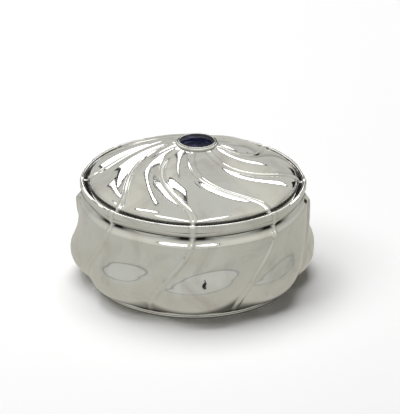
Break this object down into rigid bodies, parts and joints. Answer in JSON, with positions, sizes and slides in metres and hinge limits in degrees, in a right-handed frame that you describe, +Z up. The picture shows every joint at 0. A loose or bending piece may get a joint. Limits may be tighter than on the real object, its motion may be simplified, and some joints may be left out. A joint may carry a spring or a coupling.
{
  "type": "hinged keepsake box",
  "caption": "Round polished silver keepsake box: bellied body on a plain foot ring, raised ribs that curl down it and swirl over the hinged domed lid to a dark blue stone.",
  "frame": {"origin": "on the table under the middle of the box", "axes": "+Z up; the front of the box faces -Y and the hinge is at +Y, along X"},
  "size_m": [0.1006, 0.1006, 0.0595],
  "materials": {
    "silver": "mirror-polished silver",
    "stone": "polished dark blue stone"
  },
  "bodies": {
    "base": {"foot_ring": "silver", "floor_plate": "silver", "body_shell": "silver", "body_rim": "silver", "inner_collar": "silver", "body_knuckle_left": "silver", "body_knuckle_centre": "silver", "body_knuckle_right": "silver", "hinge_pin": "silver", "pin_cap_left": "silver", "pin_cap_right": "silver"},
    "lid": {"lid_rim": "silver", "lid_shell": "silver", "lid_knuckle_left": "silver", "lid_knuckle_right": "silver", "setting_collar": "silver", "stone_bezel": "silver", "stone": "stone"}
  },
  "joints": [
    {"name": "lid_hinge", "type": "hinge", "parent": "base", "child": "lid", "pos_m": [0, 0.04595, 0.03948], "axis": [-1, 0, 0], "range_deg": [0, 100]}
  ]
}
